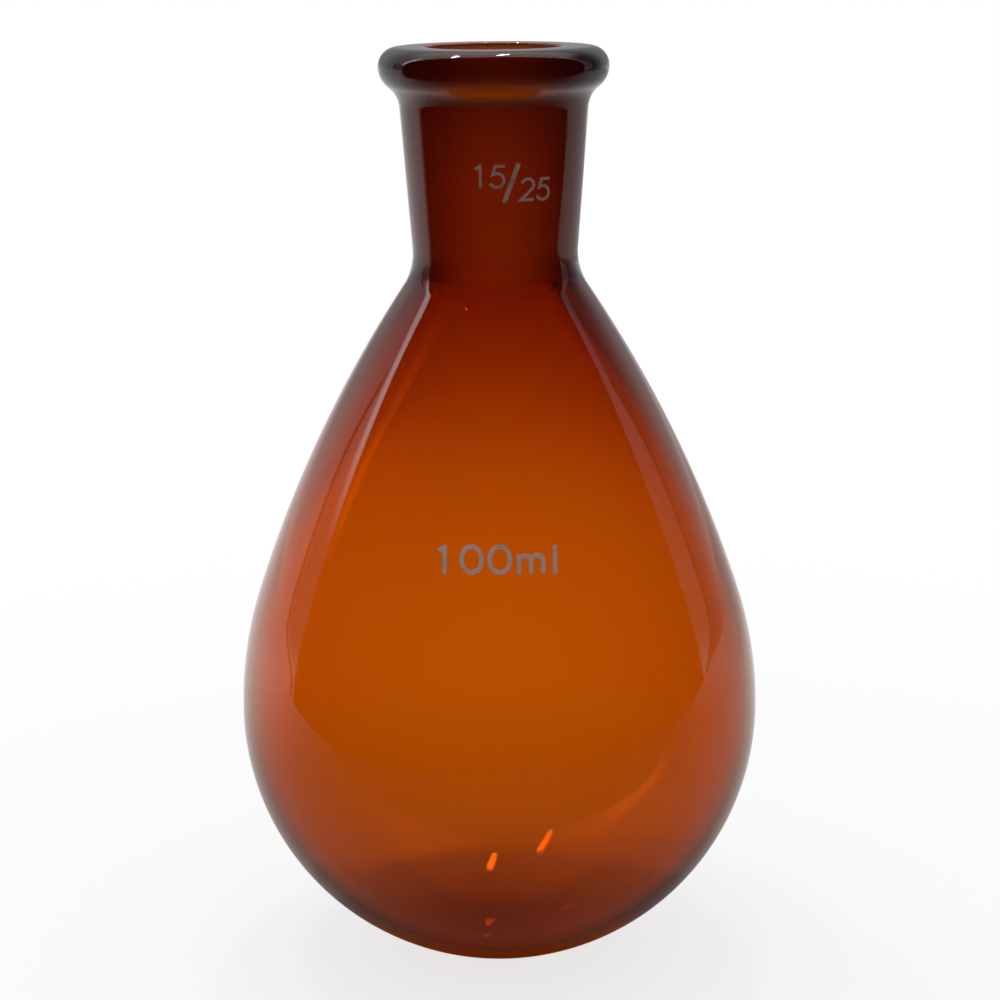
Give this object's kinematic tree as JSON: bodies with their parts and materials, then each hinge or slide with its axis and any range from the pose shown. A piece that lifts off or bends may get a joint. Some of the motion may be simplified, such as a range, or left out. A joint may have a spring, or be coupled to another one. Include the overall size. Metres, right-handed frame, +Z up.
{
  "type": "evaporating flask",
  "caption": "Pear-shaped round-bottom evaporating flask in amber glass, with a standard ground taper socket and a rolled bead at the rim.",
  "frame": {"origin": "lowest point of the round bottom, on the flask's axis, where the flask sits in a cork ring", "axes": "+Z up the flask's axis to the mouth; the printed side faces -Y"},
  "size_m": [0.06, 0.06, 0.1056],
  "materials": {
    "amber_glass": "clear amber borosilicate glass, fire-polished, with a fine-ground matt bore in the socket",
    "pale_enamel": "fired-on pale enamel print"
  },
  "bodies": {
    "root": {"bulb": "amber_glass", "ground_socket": "amber_glass"}
  },
  "joints": []
}
